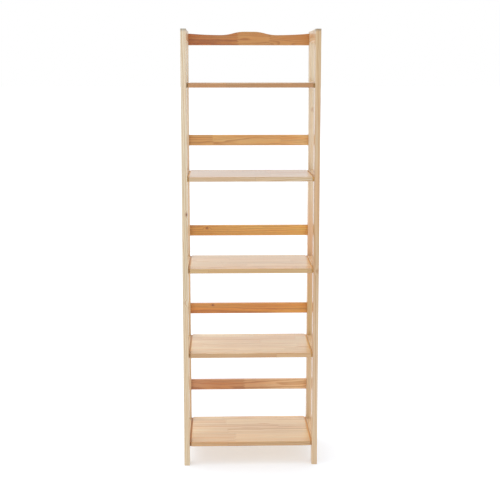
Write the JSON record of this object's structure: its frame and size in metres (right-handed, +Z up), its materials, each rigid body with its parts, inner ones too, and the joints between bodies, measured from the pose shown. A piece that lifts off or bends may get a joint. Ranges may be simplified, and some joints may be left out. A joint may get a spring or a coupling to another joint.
{
  "type": "ladder shelf",
  "caption": "Upright open wooden shelf unit: ladder-style side frames carry flat boards, with a rail behind each one, the highest arched. Stands on the floor and holds books.",
  "frame": {"origin": "middle of the footprint, on the floor", "axes": "+X to the right seen from the front, +Y from the front to the rear, +Z up"},
  "size_m": [0.495, 0.3, 1.6],
  "materials": {
    "leg_wood": "clear satin lacquer on pale softwood",
    "side_rail_wood": "clear satin lacquer on pale softwood",
    "board_wood": "clear satin lacquer on edge-glued softwood staves",
    "back_rail_wood": "clear satin lacquer on darker orange softwood",
    "dowel_wood": "raw turned hardwood",
    "zinc_steel": "bright zinc plating",
    "strip_wood": "stained reddish brown wood"
  },
  "bodies": {
    "root": {"left_front_leg": "leg_wood", "left_rear_leg": "leg_wood", "right_front_leg": "leg_wood", "right_rear_leg": "leg_wood", "left_top_side_rail": "side_rail_wood", "right_top_side_rail": "side_rail_wood", "left_rung_1": "side_rail_wood", "left_rung_2": "side_rail_wood", "left_rung_3": "side_rail_wood", "left_rung_4": "side_rail_wood", "left_rung_5": "side_rail_wood", "right_rung_1": "side_rail_wood", "right_rung_2": "side_rail_wood", "right_rung_3": "side_rail_wood", "right_rung_4": "side_rail_wood", "right_rung_5": "side_rail_wood", "shelf_1": "board_wood", "shelf_2": "board_wood", "shelf_3": "board_wood", "shelf_4": "board_wood", "shelf_5": "board_wood", "left_packing_strip_1": "strip_wood", "left_packing_strip_2": "strip_wood", "left_packing_strip_3": "strip_wood", "left_packing_strip_4": "strip_wood", "left_packing_strip_5": "strip_wood", "right_packing_strip_1": "strip_wood", "right_packing_strip_2": "strip_wood", "right_packing_strip_3": "strip_wood", "right_packing_strip_4": "strip_wood", "right_packing_strip_5": "strip_wood", "arched_top_rail": "back_rail_wood", "back_rail_2": "back_rail_wood", "back_rail_3": "back_rail_wood", "back_rail_4": "back_rail_wood", "back_rail_5": "back_rail_wood", "side_frame_dowels": "dowel_wood", "back_rail_dowels": "dowel_wood", "shelf_bolts": "zinc_steel", "shelf_barrel_nuts": "zinc_steel", "back_rail_bolts": "zinc_steel", "back_rail_barrel_nuts": "zinc_steel"}
  },
  "joints": []
}
